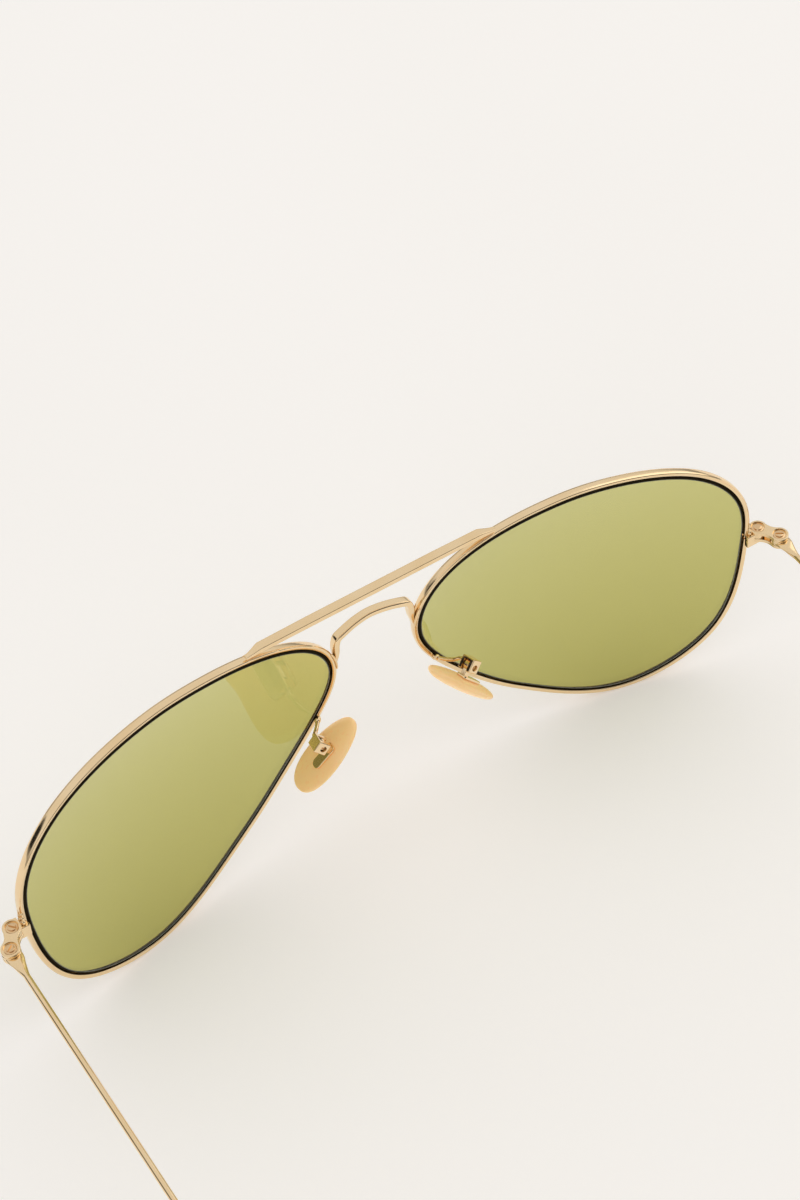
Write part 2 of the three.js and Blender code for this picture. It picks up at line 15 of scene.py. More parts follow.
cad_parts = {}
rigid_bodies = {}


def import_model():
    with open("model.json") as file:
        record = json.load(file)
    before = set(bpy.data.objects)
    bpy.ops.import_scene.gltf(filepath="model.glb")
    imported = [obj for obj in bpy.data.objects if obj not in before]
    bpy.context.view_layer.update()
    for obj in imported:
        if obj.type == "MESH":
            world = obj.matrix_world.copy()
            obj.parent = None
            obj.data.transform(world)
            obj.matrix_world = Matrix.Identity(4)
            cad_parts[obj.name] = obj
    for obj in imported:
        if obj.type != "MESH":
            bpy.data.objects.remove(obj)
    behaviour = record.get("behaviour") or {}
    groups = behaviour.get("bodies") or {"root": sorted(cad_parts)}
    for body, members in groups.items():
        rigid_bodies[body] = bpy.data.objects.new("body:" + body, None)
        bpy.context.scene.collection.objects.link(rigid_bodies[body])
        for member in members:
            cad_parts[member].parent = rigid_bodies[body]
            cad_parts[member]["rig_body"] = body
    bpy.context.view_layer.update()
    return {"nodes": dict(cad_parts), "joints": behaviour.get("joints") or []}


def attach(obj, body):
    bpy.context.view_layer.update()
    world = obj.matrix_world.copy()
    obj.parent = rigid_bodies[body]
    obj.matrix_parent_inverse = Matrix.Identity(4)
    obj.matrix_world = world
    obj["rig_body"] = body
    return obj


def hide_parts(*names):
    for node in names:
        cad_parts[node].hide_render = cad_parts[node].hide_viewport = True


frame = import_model()

SIDES = {"left": 1, "right": -1}
MM = 0.001
ALONG_X, ALONG_Y, ALONG_Z = Vector((1, 0, 0)), Vector((0, 1, 0)), Vector((0, 0, 1))

# ---- Front: lenses and rims ----
LENS_CENTRE = 36.25
WRAP = math.radians(7.3)
BASE_RADIUS = 96
# Control points of the teardrop lip: a closed uniform cubic B-spline about the lens's middle.
TEARDROP = [
    (28.5, 10.5), (20, 20.5), (2, 24), (-5, 24), (-24.5, 23.5), (-31.5, 9.5),
    (-18, -9.5), (-9.5, -17), (6.5, -27), (26, -19), (28.5, -0.5),
]
RIM_STEPS = 240
RIM_DEPTH = 1.5
RIM_THICK = 0.75
RIM_CROWN = 0.03  # bulge of the rim's outer band
RIM_LINE = 0.05  # depth of the fine line drawn between the outer band and the back face
SPLIT_GAP = 0.3
LENS_THICK = 1.6
LENS_PROUD = 0.15  # how far the back face stands behind the rim
# How far inside the lip the lens's back face, its border painted grey as shade, and its front face
# end.
LENS_BACK_INSET = 0.55
LENS_BORDER_INSET = 0.68
LENS_FRONT_INSET = 0
BEVEL_REACH = 0.05
LENS_RINGS = 14

# ---- Bridge and brow bar ----
BRIDGE_DEPTH = 1.5
BRIDGE_HEIGHT = 1.0
BRIDGE_ROUND = 0.28
BRIDGE_ROUTE = [
    (6.95, 0.75, 12.2), (6.6, 1.0, 14.4), (6.45, 1.15, 17.0), (6.05, 1.1, 17.95),
    (5.2, 1.0, 18.3), (2.8, 0.5, 18.6), (0, 0.2, 18.7),
]  # its feet sink into the rims
BAR_HALF_LENGTH = 21.4
BAR_DEPTH = 1.65
BAR_HEIGHT = 0.9
BAR_BACK = 2.5
BAR_BOTTOM = 24.75
BAR_TAPER = {"length": 3.2, "share": 0.5}  # each end thins to this share of its section

# ---- Endpieces and temple hinges, measured from the hinge axis ----
HINGE_AXIS = Vector((68.1, 11.1, 1.1))
RIM_SCREW = Vector((-1.85, -3.15))
EYE_RADIUS = 1.45
LEAF_TOP = 1
LEAF_THICK = 0.6
RECESS = {"radius": 1.12, "depth": 0.3}
KNUCKLE_HALF = 0.35
CLAMP_MIDDLE = -0.2
CLAMP_LAP = 0.12  # each half runs this far past the seam, which leaves only a hairline
WAIST_HALF = 1.0
WAIST_FILLET = 2.48  # radius of the waist's hollow sides
# Plan of the tongue beside the rim and of the block behind it, as low and high corners.
TONGUE = ((-3.2, -4.7), (-1.8, -2.75))
BLOCK = ((-4.35, -3.2), (-1.85, -2.3))
BLOCK_TOP = 0.6
BLOCK_BOTTOM = -1.7
TAPER = [
    (0.3, 1.3, 0.33, 0), (1.6, 1.25, 0.34, 0), (2.4, 1.0, 0.38, -0.06), (3.6, 0.7, 0.48, -0.27),
    (4.6, 0.5, 0.5, -0.35), (4.9, 0.5, 0.5, -0.35),
]

# ---- Screws ----
SCREW = {"shank": 0.5, "head": 0.97, "crown": 0.66, "edge": 0.1, "height": 0.33, "length": 1.7}
SCREW_SLOT = {"width": 0.3, "depth": 0.24}
SCREW_SEAT = 0.05
PAD_SCREW = {"radius": 0.4, "half_length": 0.9, "slot": 0.16, "slot_depth": 0.2}

# ---- Temples, measured from the hinge axis ----
WIRE_RADIUS = 0.5
WIRE_START = 4.7
WIRE_LIFT = -0.35
TEMPLE_SLOPE = math.radians(2.6)
BEND_START = 95
BEND_RADIUS = 22
BEND_ANGLE = math.radians(48)
TEMPLE_LENGTH = 139.2
TIP_START = 74
TIP_MOUTH = 0.25
TIP_BORE = 0.03
TIP_CORE_END = 9
TIP_NECK = (1.2, 1.25)
TIP_PADDLE = (1.45, 2.4)
TIP_SWELL = (90, 130)

# ---- Nose pads, in a frame of their own: x away from the nose, y back, z up the pad ----
PAD_CENTRE = Vector((12, 5.45, -0.2))
PAD_LEAN = math.radians(1.5)
PAD_SPLAY = math.radians(45.5)
PAD_TURN = math.radians(12.8)
PAD_ROCK = math.radians(-6.5)
PAD_LENGTH = 13.6
PAD_WIDTH = 8
PAD_FACE = 1.3
PAD_BACK = 0.95
PAD_FORM = {"outline": 0.85, "edge": 0.6, "taper": 0.3}
PAD_PIVOT = Vector((3, 1.3, 1.4))
BOX_LOW = (-0.9, -1.25, -0.95)
BOX_HIGH = (1.25, 1.25, 0.95)
BOX_SLOT_HALF = 0.6
BOX_SLOT_ABOVE = 0.95
STEM = {"half_width": 0.45, "eye": 0.85, "neck": 0.55}
FOOT = {"gap": -0.05, "thick": 0.42, "below": 3.6, "above": 0.8, "half_width": 1.0}
PAD_SCREW_HOLE = 0.5
ARM_RADIUS = 0.33
ARM_ROUTE = [(10.35, 0.35, 1.7), (11.4, 1.7, 1.7), (12.4, 2.85, 2.0)]
ARM_END = (0.2, -1.2, 0.9)  # place along the box, its front cheek, and the straight end's length

# ---- Camera: seen from behind, above and the wearer's left ----
CAMERA = {
    "target": (-2.70, -65.0, 49.29), "distance": 409.46,
    "azimuth": math.radians(30.38), "elevation": math.radians(51.08), "roll": math.radians(-2.98),
    "lens": 84.95, "sensor": 36,
}

# ---- Colours, pale and deep, as linear red, green and blue ----
GOLD_PALE = (0.93, 0.72, 0.45)
GOLD_DEEP = (0.90, 0.67, 0.39)
SCREW_PALE = (0.86, 0.62, 0.36)
SCREW_DEEP = (0.78, 0.53, 0.29)
LENS_LIGHT = (0.60, 0.58, 0.20)
LENS_DEEP = (0.50, 0.475, 0.13)
LENS_FADE = (0.004, 0.046)  # heights in metres between which the tint lightens
AMBER_PALE = (0.98, 0.72, 0.38)
AMBER_DEEP = (0.96, 0.67, 0.31)
AMBER_GLOW = (1.0, 0.56, 0.25)
# Painted shade: near-black on the lens's bevel, standing for the shadow in the rim's groove.
EDGE_SHADE_DARK = (0.012, 0.007, 0.001)
EDGE_SHADE_LIGHT = (0.025, 0.018, 0.004)
# Painted shade: grey on the border of the lens's back face.
BORDER_SHADE_DARK = (0.16, 0.16, 0.12)
BORDER_SHADE_LIGHT = (0.26, 0.26, 0.21)
PAPER_PALE = (0.89, 0.87, 0.85)
PAPER_DEEP = (0.87, 0.85, 0.825)
PAPER_GLOW = 0.3  # stands in for the room's fill light, which all but clears the shadows

# ---- Room: brightness against the sine of the elevation, and its darker parts ----
ROOM_TONES = [(0.0, 0.45), (0.05, 0.35), (0.14, 0.45), (0.3, 0.85), (0.5, 1.0)]
ROOM_STRENGTH = 0.79
LIGHT_TINT = (1.0, 0.985, 0.96)  # of the room and of the window
WALL_COLOUR = (0.87, 0.85, 0.82, 1)
# Directions, the cosines where each one's shade begins and is full, and what is left of the light.
DARK_PARTS = {
    "far side": {"towards": (-0.21, 0.92, 0.32), "begin": 0.70, "full": 0.90, "left": 0.1},
    "lamp stand": {"towards": (0.83, -0.49, 0.27), "begin": 0.966, "full": 0.982, "left": 0.02},
}

WINDOW = {"place": (-1.1, -0.1, 0.9), "size": 1.2, "energy": 2.6}

# ---- Fineness ----
ARC_STEPS = 5  # in each rounded corner of an outline
ROUND_SIDES = 48


# ---------------------------------------------------------------- shapes

class Shape:
    """Points and faces of one piece. A face's kind says which of its materials it takes."""

    def __init__(self):
        self.points = []
        self.faces = []
        self.kinds = []

    def loft(self, rings, kinds=()):
        """Adds a closed skin through rings with equal point counts."""
        sides = len(rings[0])
        first = len(self.points)
        for ring in rings:
            self.points += [Vector(point) for point in ring]
        for row in range(len(rings) - 1):
            near = first + row * sides
            for k in range(sides):
                after = (k + 1) % sides
                self.faces.append((near + k, near + after, near + sides + after, near + sides + k))
                self.kinds.append(kinds[row] if kinds else 0)
        last = first + (len(rings) - 1) * sides
        for start in (first, last):
            self.faces.append(tuple(range(start, start + sides)))
            self.kinds.append(0)
        return self

    def moved(self, matrix):
        self.points = [matrix @ point for point in self.points]
        return self

    def add(self, other):
        first = len(self.points)
        self.points += other.points
        self.faces += [tuple(first + corner for corner in face) for face in other.faces]
        self.kinds += other.kinds
        return self

    def copy(self):
        return Shape().add(self)


def arc(centre, radius, start, sweep, steps=ARC_STEPS):
    """Points of an arc, without its last one."""
    angles = [start + sweep * step / steps for step in range(steps)]
    return [(centre[0] + radius * math.cos(a), centre[1] + radius * math.sin(a)) for a in angles]


def circle(radius, sides=ROUND_SIDES):
    return arc((0, 0), radius, 0, 2 * math.pi, sides)


def ellipse(half_width, half_height, sides=ROUND_SIDES):
    return [(x * half_width, y * half_height) for x, y in circle(1, sides)]


def rounded(corners):
    """Outline through corners (x, y, radius), each rounded by its own radius."""
    outline = []
    for k, (x, y, radius) in enumerate(corners):
        corner = Vector((x, y))
        before = (Vector(corners[k - 1][:2]) - corner).normalized()
        after = (Vector(corners[(k + 1) % len(corners)][:2]) - corner).normalized()
        half = before.angle(after) / 2
        centre = corner + (before + after).normalized() * radius / math.sin(half)
        reach = radius / math.tan(half)
        start = corner + before * reach - centre
        end = corner + after * reach - centre
        first = math.atan2(start.y, start.x)
        turn = (math.atan2(end.y, end.x) - first + math.pi) % (2 * math.pi) - math.pi
        for step in range(ARC_STEPS + 1):
            angle = first + turn * step / ARC_STEPS
            outline.append((centre.x + radius * math.cos(angle), centre.y + radius * math.sin(angle)))
    return outline


def rounded_rectangle(width, height, radius):
    x, y = width / 2, height / 2
    return rounded([(x, -y, radius), (x, y, radius), (-x, y, radius), (-x, -y, radius)])


def ring_across(point, tangent, reference, section):
    """Section points (across, up) set at a point of a path; across lies near the reference."""
    across = (reference - tangent * reference.dot(tangent)).normalized()
    up = tangent.cross(across)
    return [point + across * a + up * b for a, b in section]


def smooth_path(places, steps):
    """Centripetal Catmull-Rom curve through places, as (point, tangent) pairs."""
    knots = [Vector(place) for place in places]
    knots = [2 * knots[0] - knots[1], *knots, 2 * knots[-1] - knots[-2]]
    path = []
    for a, b, c, d in zip(knots, knots[1:], knots[2:], knots[3:]):
        before, span, after = (math.sqrt((q - p).length) for p, q in ((a, b), (b, c), (c, d)))
        leave = ((b - a) / before - (c - a) / (before + span) + (c - b) / span) * span
        arrive = ((c - b) / span - (d - b) / (span + after) + (d - c) / after) * span
        square = 3 * (c - b) - 2 * leave - arrive
        cube = 2 * (b - c) + leave + arrive
        for step in range(steps + (d is knots[-1])):
            t = step / steps
            point = b + leave * t + square * t**2 + cube * t**3
            path.append((point, (leave + square * 2 * t + cube * 3 * t**2).normalized()))
    return path


def plate(outline, low, high, edge):
    """Flat piece between two heights, with its outline's edges rounded over."""
    count = len(outline)
    points = [Vector(point) for point in outline]
    normals = []
    for k in range(count):
        along = (points[(k + 1) % count] - points[k - 1]).normalized()
        normals.append(Vector((along.y, -along.x)))
    turning = sum(points[k - 1].cross(points[k]) for k in range(count))
    inward = -1 if turning > 0 else 1
    rings = []
    for end, lean in ((low, 1), (high, -1)):
        rows = []
        for step in range(ARC_STEPS + 1):
            angle = math.pi / 2 * step / ARC_STEPS
            inset = edge * (1 - math.sin(angle)) * inward
            height = end + lean * edge * (1 - math.cos(angle))
            flat = [point + normal * inset for point, normal in zip(points, normals)]
            rows.append([(x, y, height) for x, y in flat])
        rings += rows if lean > 0 else rows[::-1]
    return Shape().loft(rings)


def rounded_box(low, high, radius):
    width, depth = high[0] - low[0], high[1] - low[1]
    centre = Matrix.Translation(((low[0] + high[0]) / 2, (low[1] + high[1]) / 2, 0))
    outline = rounded_rectangle(width, depth, radius * 1.05)
    return plate(outline, low[2], high[2], radius).moved(centre)


def lathe(profile, sides=ROUND_SIDES):
    """Body of revolution about z from (radius, height) points, closed flat at both ends."""
    rings = [[(x, y, height) for x, y in circle(radius, sides)] for radius, height in profile]
    return Shape().loft(rings)


def crossways(shape):
    """Turns a shape drawn about z so that it lies along y."""
    return shape.moved(Matrix.Rotation(-math.pi / 2, 4, "X"))


def to_mesh(shape, name="shape"):
    mesh = bpy.data.meshes.new(name)
    mesh.from_pydata(shape.points, [], shape.faces)
    mesh.polygons.foreach_set("material_index", shape.kinds)
    work = bmesh.new()
    work.from_mesh(mesh)
    bmesh.ops.recalc_face_normals(work, faces=work.faces)
    work.to_mesh(mesh)
    work.free()
    return mesh


def carved(shape, *cutters):
    """The shape with the cutters taken away from it."""
    solids = [bpy.data.objects.new("solid", to_mesh(part)) for part in (shape, *cutters)]
    for solid in solids:
        bpy.context.scene.collection.objects.link(solid)
    body = solids[0]
    for cutter in solids[1:]:
        cut = body.modifiers.new("cut", "BOOLEAN")
        cut.object = cutter
        cut.operation = "DIFFERENCE"
        cut.solver = "EXACT"
    bpy.context.view_layer.update()
    result = body.evaluated_get(bpy.context.evaluated_depsgraph_get()).to_mesh()
    left = Shape()
    left.points = [vertex.co.copy() for vertex in result.vertices]
    left.faces = [tuple(face.vertices) for face in result.polygons]
    left.kinds = [0] * len(left.faces)
    body.evaluated_get(bpy.context.evaluated_depsgraph_get()).to_mesh_clear()
    for solid in solids:
        bpy.data.objects.remove(solid)
    return left


# ---------------------------------------------------------------- frames and pieces

def joint_place(name):
    found = [joint for joint in frame["joints"] if joint["name"] == name][0]
    return Vector(found["pos_m"]), Vector(found["axis"])


def to_row():
    """From the upright front's frame in millimetres to the row frame in metres."""
    place, axis = joint_place("temple_fold_left")
    lean = Matrix.Rotation(math.atan2(-axis.y, axis.z), 4, "X")
    return Matrix.Translation(place) @ Matrix.Scale(MM, 4) @ lean @ Matrix.Translation(-HINGE_AXIS)


TO_ROW = to_row()
MIRROR = Matrix.Scale(-1, 4, (1, 0, 0))
LENS_FRAME = Matrix.Translation((LENS_CENTRE, 0, 0)) @ Matrix.Rotation(WRAP, 4, "Z")
HINGE_FRAME = Matrix.Translation(HINGE_AXIS)


def pad_frame(side, rocked):
    """Frame about the middle of the pad screw; its pieces are drawn for the left side."""
    turn = (
        Matrix.Rotation(PAD_LEAN, 4, "X")
        @ Matrix.Rotation(-side * PAD_SPLAY, 4, "Y")
        @ Matrix.Rotation(-side * PAD_TURN, 4, "Z")
    )
    flip = Matrix.Scale(side, 4, (1, 0, 0))
    centre = Matrix.Translation((side * PAD_CENTRE.x, PAD_CENTRE.y, PAD_CENTRE.z))
    pivot = Matrix.Translation((side * PAD_PIVOT.x, PAD_PIVOT.y, PAD_PIVOT.z))
    rock = Matrix.Rotation(PAD_ROCK if rocked else 0, 4, "Y")
    return centre @ turn @ pivot @ rock @ flip


def piece(name, shape, materials, replaces=(), sharp=35):
    """Makes a shape in the front's frame into a piece that rides where its CAD node does."""
    mesh = to_mesh(shape.moved(TO_ROW), name)
    mesh.shade_smooth()
    mesh.set_sharp_from_angle(angle=math.radians(sharp))
    for material in materials:
        mesh.materials.append(material)
    made = bpy.data.objects.new(name, mesh)
    bpy.context.scene.collection.objects.link(made)
    weighted = made.modifiers.new("even_shading", "WEIGHTED_NORMAL")
    weighted.keep_sharp = True
    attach(made, frame["nodes"][replaces[0]]["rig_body"] if replaces else "front")
    if replaces:
        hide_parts(*replaces)
    return made


def pair(name, shape, materials, node=None, sharp=35):
    """A left-hand piece and its mirror image."""
    for side, sign in SIDES.items():
        own = shape.copy()
        if sign < 0:
            own.moved(MIRROR)
        replaces = [f"{node}_{side}"] if node else []
        piece(f"{name}_{side}", own, materials, replaces, sharp)


# ---------------------------------------------------------------- teardrop

def teardrop_at(parameter):
    """Point, outward direction and speed of the lip's outline at a parameter."""
    span = math.floor(parameter)
    f = parameter - span
    weights = [(1 - f)**3, 3 * f**3 - 6 * f**2 + 4, -3 * f**3 + 3 * f**2 + 3 * f + 1, f**3]
    slopes = [-(1 - f)**2, 3 * f**2 - 4 * f, -3 * f**2 + 2 * f + 1, f**2]
    near = [Vector(TEARDROP[(span - 1 + k) % len(TEARDROP)]) for k in range(4)]
    point = sum((p * w / 6 for p, w in zip(near, weights)), Vector((0, 0)))
    tangent = sum((p * w / 2 for p, w in zip(near, slopes)), Vector((0, 0)))
    speed = tangent.length
    return point, Vector((tangent.y, -tangent.x)) / speed, speed


def split_parameter():
    """Parameter at which the temporal side passes the height of the hinge."""
    low, high = len(TEARDROP) - 1, len(TEARDROP)
    for _ in range(30):
        middle = (low + high) / 2
        if teardrop_at(middle)[0].y < HINGE_AXIS.z + CLAMP_MIDDLE:
            low = middle
        else:
            high = middle
    return low


def beside_lip(parameter, out, behind, share=1.0):
    """Point in the lens frame: out from the lip, and behind or (negative) in front of it."""
    point, outward, _ = teardrop_at(parameter)
    flat = (point + outward * out) * share
    sag = BASE_RADIUS - math.sqrt(BASE_RADIUS**2 - flat.length_squared)
    return Vector((flat.x, sag + behind, flat.y))


def nearest_lip(x, z):
    """Parameter of the left lip nearest to a place seen from the front."""
    steps = RIM_STEPS * 4
    parameters = [len(TEARDROP) * step / steps for step in range(steps)]

    def distance(parameter):
        point = LENS_FRAME @ beside_lip(parameter, 0, 0)
        return math.hypot(point.x - x, point.z - z)

    return min(parameters, key=distance)


def along_rim(start, end, out, behind, steps=24):
    """Points beside the left lip from one place to another, each (x, z) seen from the front."""
    first, last = nearest_lip(*start), nearest_lip(*end)
    count = len(TEARDROP)
    turn = (last - first + count / 2) % count - count / 2
    shares = [step / steps for step in range(steps + 1)]
    return [LENS_FRAME @ beside_lip(first + turn * share, out, behind) for share in shares]


# ---------------------------------------------------------------- front

def rim_section():
    """Section of the rim wire as (out, behind): a crowned band, a fine line, a flat back face
    and the groove that holds the lens."""
    back, front = 0, -RIM_DEPTH
    line = 0.3  # place of the fine line, in front of the back face
    middle = -RIM_DEPTH / 2
    band_width = RIM_DEPTH - 2 * line
    band = []
    for step in range(2 * ARC_STEPS + 1):
        share = step / (2 * ARC_STEPS)
        crown = RIM_CROWN * 4 * share * (1 - share)
        band.append((RIM_THICK + crown, back - line - share * band_width))
    shoulder = RIM_THICK - 0.16
    back_edge = [
        (0, -0.07), (0.02, -0.02), (0.07, back), (0.42, back + 0.02),
        (shoulder - 0.06, back - 0.01), (shoulder + 0.03, back - 0.06), (shoulder + 0.1, back - 0.16),
        (RIM_THICK - RIM_LINE, back - line + 0.06),
    ]
    front_edge = [(out, front - behind) for out, behind in reversed(back_edge)]
    groove = [(0, middle - 0.42), (0.35, middle), (0, middle + 0.42)]
    return [*back_edge, *band, *front_edge, *groove]


def rim_shape():
    section = rim_section()
    split = split_parameter()
    margin = SPLIT_GAP / 2 / teardrop_at(split)[2]
    length = len(TEARDROP) - 2 * margin
    rings = []
    for step in range(RIM_STEPS + 1):
        lip = split + margin + length * step / RIM_STEPS
        rings.append([beside_lip(lip, out, behind) for out, behind in section])
    return Shape().loft(rings).moved(LENS_FRAME)


def lens_shape():
    """Lens with a spherical back and front. Its back bevel, painted near-black as shade, and the
    border of its back face, painted grey as shade, are kinds of face of their own."""
    lips = [len(TEARDROP) * step / RIM_STEPS for step in range(RIM_STEPS)]
    middle = -RIM_DEPTH / 2
    shares = [(ring + 0.4) / (LENS_RINGS + 0.4) for ring in range(LENS_RINGS)]

    def face_ring(behind, inset, share=1.0):
        return [beside_lip(lip, -inset, behind, share) for lip in lips]

    front_face = middle - LENS_THICK / 2
    back = [face_ring(LENS_PROUD, LENS_BORDER_INSET, share) for share in (*shares, 1)]
    front = [face_ring(front_face, LENS_FRONT_INSET, share) for share in (1, *reversed(shares))]
    bevel = [beside_lip(lip, BEVEL_REACH, middle) for lip in lips]
    rings = [*back, face_ring(LENS_PROUD, LENS_BACK_INSET), bevel, *front]
    kinds = [0] * (len(rings) - 1)
    # Border faces take the grey painted shade, bevel faces the near-black painted shade.
    kinds[LENS_RINGS] = 2
    kinds[LENS_RINGS + 1] = 1
    return Shape().loft(rings, kinds).moved(LENS_FRAME)


def bridge_shape():
    """Flattened wire; each foot thins out as it runs down the rim."""
    other = [(-x, y, z) for x, y, z in reversed(BRIDGE_ROUTE[:-1])]
    foot = BRIDGE_ROUTE[0][2]
    full = BRIDGE_ROUTE[2][2] - 1
    section = rounded_rectangle(BRIDGE_DEPTH, BRIDGE_HEIGHT, BRIDGE_ROUND)
    rings = []
    for point, tangent in smooth_path([*BRIDGE_ROUTE, *other], 14):
        thin = 0.35 + 0.65 * smooth_step((point.z - foot) / (full - foot))
        narrowed = [(a * (0.6 + 0.4 * thin), b * thin) for a, b in section]
        rings.append(ring_across(point, tangent, ALONG_Y, narrowed))
    return Shape().loft(rings)


def smooth_step(share):
    share = min(max(share, 0), 1)
    return share * share * (3 - 2 * share)


def brow_bar_shape():
    """Straight bar with a flat top and crisp back edges; its ends thin down on to the rims."""
    depth, height = BAR_DEPTH / 2, BAR_HEIGHT / 2
    section = rounded([
        (depth, -height, 0.1), (depth, height, 0.16), (-depth, height, 0.3), (-depth, -height, 0.3),
    ])
    middle = Vector((0, BAR_BACK - depth, BAR_BOTTOM + height))
    end_round = 0.22
    half = []
    for step in range(ARC_STEPS + 1):
        angle = math.pi / 2 * step / ARC_STEPS
        size = 1 - end_round * (1 - math.sin(angle)) / depth
        half.append((BAR_HALF_LENGTH - end_round * (1 - math.cos(angle)), size))
    half += [(BAR_HALF_LENGTH * place, 1) for place in (0.98, 0.96, 0.94, 0.92, 0.9, 0.88, 0.5)]
    stations = [*[(-x, size) for x, size in half], *reversed(half)]
    rings = []
    for x, size in stations:
        to_end = 1 - (BAR_HALF_LENGTH - abs(x)) / BAR_TAPER["length"]
        tall = 1 - (1 - BAR_TAPER["share"]) * smooth_step(to_end)
        here = middle + Vector((x, depth * (1 - tall), -height * (1 - tall)))
        thinned = [(a * size * tall, b * size * tall) for a, b in section]
        rings.append(ring_across(here, ALONG_X, ALONG_Y, thinned))
    return Shape().loft(rings)


# ---------------------------------------------------------------- endpieces, hinges and temples

def bow_tie():
    """Outline of a hinge plate: two eyes joined by a waist, all in arcs."""
    spacing = RIM_SCREW.length
    rise = WAIST_HALF + WAIST_FILLET
    lean = math.atan2(rise, spacing / 2)
    round_eye = 2 * math.pi - 2 * lean
    hollow = -(math.pi - 2 * lean)
    outline = [
        *arc((0, 0), EYE_RADIUS, lean, round_eye, 32),
        *arc((spacing / 2, -rise), WAIST_FILLET, math.pi - lean, hollow, 8),
        *arc((spacing, 0), EYE_RADIUS, math.pi + lean, round_eye, 32),
        *arc((spacing / 2, rise), WAIST_FILLET, -lean, hollow, 8),
    ]
    turn = Matrix.Rotation(math.atan2(RIM_SCREW.y, RIM_SCREW.x), 2)
    return [tuple(turn @ Vector(point)) for point in outline]


def clamp_shape(side):
    """One half of the endpiece: plate with two eyes, clamp post, tongue and block. side is 1
    for the upper half, whose eyes are recessed for the screw heads, and -1 for the lower one."""
    seam = CLAMP_MIDDLE - side * CLAMP_LAP
    inset = 0 if side > 0 else 0.012
    low, high = sorted((seam, BLOCK_TOP if side > 0 else BLOCK_BOTTOM))
    leaf = plate(bow_tie(), LEAF_TOP - LEAF_THICK, LEAF_TOP, 0.1)
    if side > 0:
        floor = LEAF_TOP - RECESS["depth"]
        recess = lathe([(RECESS["radius"], floor), (RECESS["radius"], LEAF_TOP + 1)])
        over_rim_screw = Matrix.Translation((RIM_SCREW.x, RIM_SCREW.y, 0))
        leaf = carved(leaf, recess, recess.copy().moved(over_rim_screw))
    else:
        leaf.moved(Matrix.Scale(-1, 4, (0, 0, 1)))
    post_low, post_high = sorted((seam, side * (LEAF_TOP - LEAF_THICK / 2) - 0.15))
    post = lathe([
        (EYE_RADIUS - 0.14, post_low), (EYE_RADIUS - 0.07, post_low + 0.07),
        (EYE_RADIUS - 0.07, post_high - 0.07), (EYE_RADIUS - 0.14, post_high),
    ])
    shape = leaf.add(post.moved(Matrix.Translation((RIM_SCREW.x, RIM_SCREW.y, 0))))
    for (x_low, y_low), (x_high, y_high) in (TONGUE, BLOCK):
        corners = (x_low + inset, y_low + inset, low), (x_high - inset, y_high - inset, high)
        shape.add(rounded_box(*corners, 0.12))
    return shape


def screw_shape():
    """Slotted screw with a raised crown; its shank hangs from z = 0."""
    edge = SCREW_SEAT + SCREW["edge"]
    top = SCREW_SEAT + SCREW["height"]
    shank, head, crown = SCREW["shank"], SCREW["head"], SCREW["crown"]
    profile = [
        (shank - 0.08, -SCREW["length"]), (shank, 0.08 - SCREW["length"]), (shank, SCREW_SEAT),
        (head, SCREW_SEAT), (head, edge - 0.06), (head - 0.02, edge - 0.02), (head - 0.06, edge),
        (crown + 0.06, edge), (crown, edge + 0.01), (crown - 0.03, top - 0.03), (crown - 0.09, top),
        (crown / 2, top + 0.02), (0.05, top + 0.025),
    ]
    reach = 2 * head
    half = SCREW_SLOT["width"] / 2
    corners = [(-reach, -half), (reach, -half), (reach, half), (-reach, half)]
    return carved(lathe(profile), plate(corners, top - SCREW_SLOT["depth"], top + 1, 0))


def temple_flare_shape():
    """Knuckle between the leaves and the flare that thins from it into the wire."""
    places = [(half, distance, 0) for distance, half, _, _ in TAPER]
    heights = [(tall, distance, rise) for distance, _, tall, rise in TAPER]
    widths = smooth_path(places, 8)
    tallness = smooth_path(heights, 8)
    rings = []
    for (wide, _), (tall, _) in zip(widths, tallness):
        middle = Vector((0, wide.y, tall.z))
        rings.append(ring_across(middle, ALONG_Y, ALONG_X, ellipse(wide.x, tall.x)))
    half = KNUCKLE_HALF
    knuckle = lathe([
        (EYE_RADIUS - 0.1, -half), (EYE_RADIUS, 0.1 - half), (EYE_RADIUS, half - 0.1),
        (EYE_RADIUS - 0.1, half),
    ])
    return Shape().loft(rings).add(knuckle)


def temple_at(distance):
    """Point and direction of the temple's centre line at a distance from the hinge."""
    bend_length = BEND_RADIUS * BEND_ANGLE
    turned = min(max((distance - BEND_START) / bend_length, 0), 1) * BEND_ANGLE
    before = min(distance, BEND_START)
    after = max(distance - BEND_START - bend_length, 0)
    y = before + BEND_RADIUS * math.sin(turned) + after * math.cos(turned)
    z = -BEND_RADIUS * (1 - math.cos(turned)) - after * math.sin(turned)
    slope = Matrix.Rotation(-TEMPLE_SLOPE, 3, "X")
    point = slope @ Vector((0, y, z))
    point.z += WIRE_LIFT + WIRE_START * math.sin(TEMPLE_SLOPE)
    return point, slope @ Vector((0, math.cos(turned), -math.sin(turned)))


def temple_ring(distance, section):
    point, tangent = temple_at(distance)
    return ring_across(point, tangent, ALONG_X, section)


def temple_rod_shape():
    end = TEMPLE_LENGTH - TIP_CORE_END
    steps = 90
    rings = []
    for step in range(steps + 1):
        distance = WIRE_START - 0.3 + (end - WIRE_START + 0.3) * step / steps
        rings.append(temple_ring(distance, circle(WIRE_RADIUS, 32)))
    return Shape().loft(rings)


